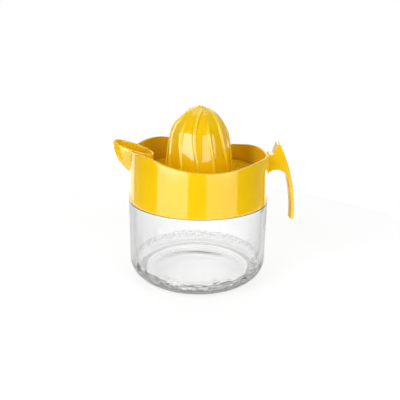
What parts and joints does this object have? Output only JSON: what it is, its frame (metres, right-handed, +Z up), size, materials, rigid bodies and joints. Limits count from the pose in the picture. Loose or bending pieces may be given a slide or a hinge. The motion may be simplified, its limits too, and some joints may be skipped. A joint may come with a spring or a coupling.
{
  "type": "hand citrus juicer",
  "caption": "Hand citrus juicer: a ribbed reamer on a lift-out strainer sits in a screw-on collar with pouring spout and hooked handle, over a straight glass jar.",
  "frame": {"origin": "centre of the jar's foot ring, on the table", "axes": "+Z up along the jar's axis, +X towards the handle, -X towards the pouring spout"},
  "size_m": [0.1434, 0.11, 0.1372],
  "materials": {
    "yellow_plastic": "glossy",
    "clear_glass": "polished",
    "silicone": "satin"
  },
  "bodies": {
    "jar": {"glass_jar": "clear_glass"},
    "seal": {"seal_ring": "silicone"},
    "top": {"screw_collar": "yellow_plastic", "pouring_spout": "yellow_plastic", "handle": "yellow_plastic"},
    "insert": {"strainer": "yellow_plastic", "reamer_cone": "yellow_plastic"}
  },
  "joints": [
    {"name": "collar_lift", "type": "slide", "parent": "jar", "child": "seal", "axis": [0, 0, 1], "range_m": [0, 0.02]},
    {"name": "collar_turn", "type": "hinge", "parent": "seal", "child": "top", "pos_m": [0, 0, 0.07], "axis": [0, 0, 1], "range_deg": [0, 720]},
    {"name": "insert_lift", "type": "slide", "parent": "top", "child": "insert", "axis": [0, 0, 1], "range_m": [0, 0.06]}
  ],
  "couplings": [
    {"joint": "collar_lift", "follows": "collar_turn", "m_per_rad": 0.0015915}
  ]
}
